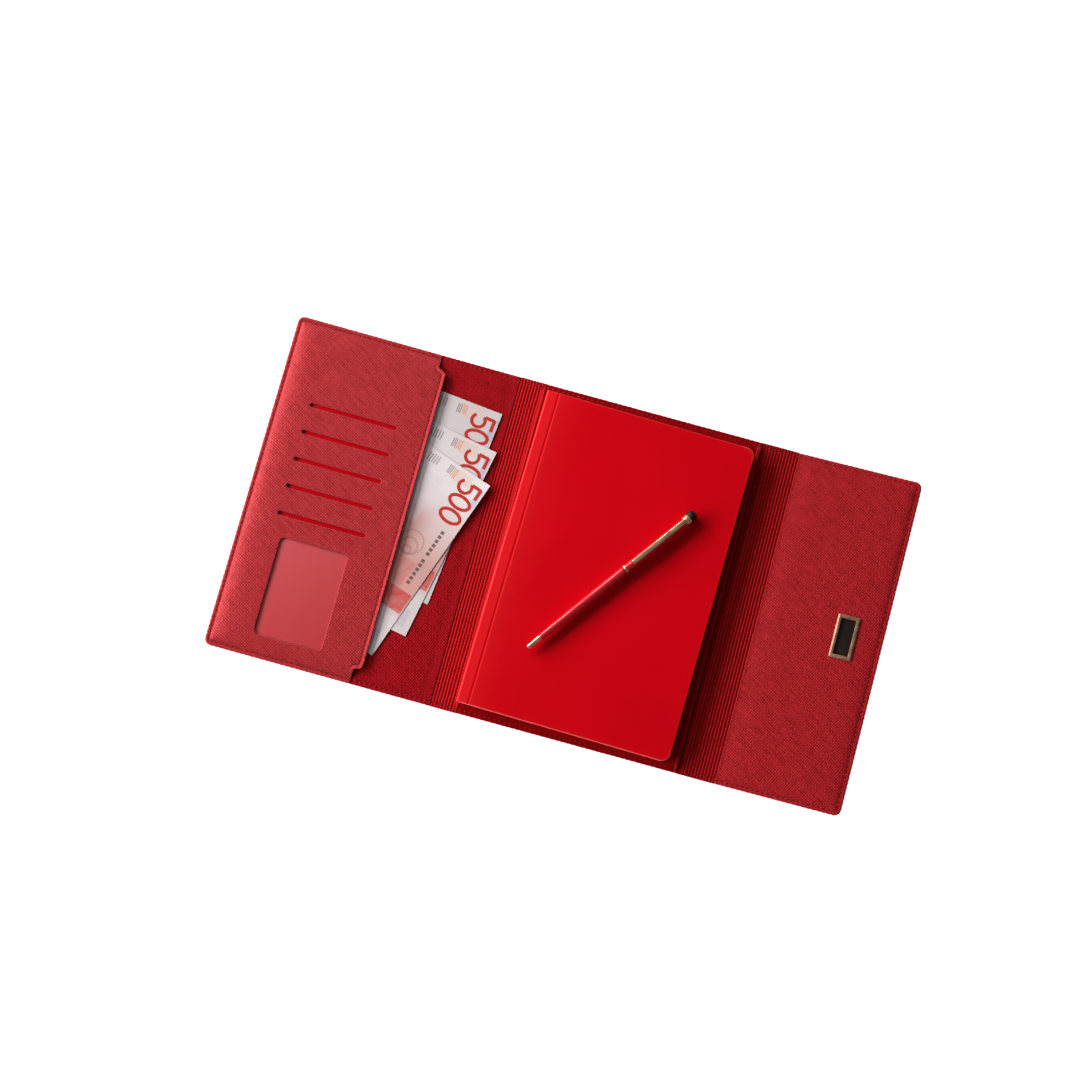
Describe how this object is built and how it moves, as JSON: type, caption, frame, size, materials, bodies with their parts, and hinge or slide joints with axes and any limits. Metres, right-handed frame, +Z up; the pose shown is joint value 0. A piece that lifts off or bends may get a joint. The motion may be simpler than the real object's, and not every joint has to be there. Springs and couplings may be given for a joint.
{
  "type": "trifold travel organiser wallet",
  "caption": "Trifold leather travel wallet lying open, with card slots, window pocket, note pocket, ribbed folding spines, clasp flap, notebook and stylus pen.",
  "frame": {"origin": "middle of the centre panel's underside, where the open wallet rests on a table", "axes": "+X along the open wallet from the card-pocket panel to the clasp flap, +Y up the panels, +Z up out of the inside faces"},
  "size_m": [0.4182, 0.222, 0.0168],
  "materials": {
    "saffiano_leather": "cross-hatched saffiano grain, satin",
    "lining_leather": "cross-hatched saffiano grain, satin",
    "pocket_leather": "cross-hatched saffiano grain, satin",
    "ribbed_gusset": "fine ribs along the spine, matt",
    "slot_fabric": "smooth lining cloth",
    "greyboard": "plain board",
    "window_film": "clear film",
    "clasp_bronze": "brushed rose bronze",
    "magnet_black": "black",
    "steel_plate": "plain",
    "notebook_cover": "smooth coated card",
    "notebook_paper": "uncoated",
    "banknote_paper": "printed",
    "pen_lacquer": "gloss lacquer",
    "pen_gold": "polished",
    "stylus_rubber": "matt",
    "refill_metal": "plain"
  },
  "bodies": {
    "centre_panel": {"centre_outer_cover": "saffiano_leather", "centre_board": "greyboard", "centre_lining": "lining_leather", "notebook_sleeve": "lining_leather", "sleeve_welt": "saffiano_leather", "left_inner_crease": "saffiano_leather", "right_inner_crease": "saffiano_leather"},
    "left_spine": {"left_spine_cover": "saffiano_leather", "left_gusset": "ribbed_gusset", "left_outer_crease": "saffiano_leather"},
    "left_panel": {"left_outer_cover": "saffiano_leather", "left_board": "greyboard", "left_lining": "lining_leather", "pocket_divider": "slot_fabric", "slot_lining": "slot_fabric", "id_window_film": "window_film", "card_pocket_panel": "pocket_leather", "clasp_striker": "clasp_bronze", "striker_washer": "steel_plate"},
    "right_spine": {"right_spine_cover": "saffiano_leather", "right_gusset": "ribbed_gusset", "right_outer_crease": "saffiano_leather"},
    "flap": {"flap_outer_cover": "saffiano_leather", "flap_board": "greyboard", "flap_lining": "lining_leather", "clasp_bezel": "clasp_bronze", "clasp_magnet": "magnet_black", "clasp_backing_plate": "steel_plate"},
    "note_back": {"banknote_back": "banknote_paper"},
    "note_middle": {"banknote_middle": "banknote_paper"},
    "note_front": {"banknote_front": "banknote_paper"},
    "notebook": {"notebook_back_cover": "notebook_cover", "notebook_pages": "notebook_paper", "notebook_spine": "notebook_cover"},
    "notebook_cover": {"notebook_front_cover": "notebook_cover"},
    "pen": {"pen_centre_ring": "pen_gold", "pen_upper_barrel": "pen_lacquer", "pen_clip": "pen_gold", "pen_ferrule": "pen_gold", "pen_stylus_tip": "stylus_rubber", "pen_twist_mechanism": "refill_metal"},
    "pen_barrel": {"pen_lower_barrel": "pen_lacquer", "pen_nose_cone": "pen_gold"},
    "pen_refill": {"pen_refill": "refill_metal"}
  },
  "joints": [
    {"name": "left_spine_fold", "type": "hinge", "parent": "centre_panel", "child": "left_spine", "pos_m": [-0.0762, 0, 0.001], "axis": [0, 1, 0], "range_deg": [0, 82], "deforming": ["left_inner_crease"]},
    {"name": "left_panel_fold", "type": "hinge", "parent": "left_spine", "child": "left_panel", "pos_m": [-0.0965, 0, 0.001], "axis": [0, 1, 0], "range_deg": [0, 96.2], "deforming": ["left_outer_crease"]},
    {"name": "right_spine_fold", "type": "hinge", "parent": "centre_panel", "child": "right_spine", "pos_m": [0.0738, 0, 0.001], "axis": [0, -1, 0], "range_deg": [0, 82], "deforming": ["right_inner_crease"]},
    {"name": "flap_fold", "type": "hinge", "parent": "right_spine", "child": "flap", "pos_m": [0.0988, 0, 0.001], "axis": [0, -1, 0], "range_deg": [0, 92], "deforming": ["right_outer_crease"]},
    {"name": "note_back_slide", "type": "slide", "parent": "left_panel", "child": "note_back", "axis": [-0.9995, 0, 0.0314], "range_m": [0, 0.004]},
    {"name": "note_middle_slide", "type": "slide", "parent": "left_panel", "child": "note_middle", "axis": [-0.9995, 0, 0.0314], "range_m": [0, 0.0125]},
    {"name": "note_front_slide", "type": "slide", "parent": "left_panel", "child": "note_front", "axis": [-0.9995, 0, 0.0314], "range_m": [0, 0.019]},
    {"name": "notebook_lift", "type": "slide", "parent": "centre_panel", "child": "notebook", "axis": [0, 0, 1], "range_m": [0, 0.08]},
    {"name": "notebook_cover_open", "type": "hinge", "parent": "notebook", "child": "notebook_cover", "pos_m": [-0.06539, 0.00063, 0.0097], "axis": [-0.0166, -0.9999, 0], "range_deg": [0, 150]},
    {"name": "pen_lift", "type": "slide", "parent": "notebook_cover", "child": "pen", "axis": [0, 0, 1], "range_m": [0, 0.03]},
    {"name": "pen_twist", "type": "hinge", "parent": "pen", "child": "pen_barrel", "pos_m": [-0.03988, -0.0596, 0.0133], "axis": [0.5861, 0.8102, 0], "range_deg": [0, 180]},
    {"name": "refill_advance", "type": "slide", "parent": "pen", "child": "pen_refill", "axis": [-0.5861, -0.8102, 0], "range_m": [0, 0.0025]}
  ],
  "couplings": [
    {"joint": "left_panel_fold", "follows": "left_spine_fold", "ratio": 1.1731},
    {"joint": "flap_fold", "follows": "right_spine_fold", "ratio": 1.1219},
    {"joint": "note_back_slide", "follows": "left_spine_fold", "m_per_rad": 0.0026},
    {"joint": "note_middle_slide", "follows": "left_spine_fold", "m_per_rad": 0.0085},
    {"joint": "note_front_slide", "follows": "left_spine_fold", "m_per_rad": 0.013},
    {"joint": "pen_twist", "follows": "refill_advance", "rad_per_m": 1250}
  ]
}
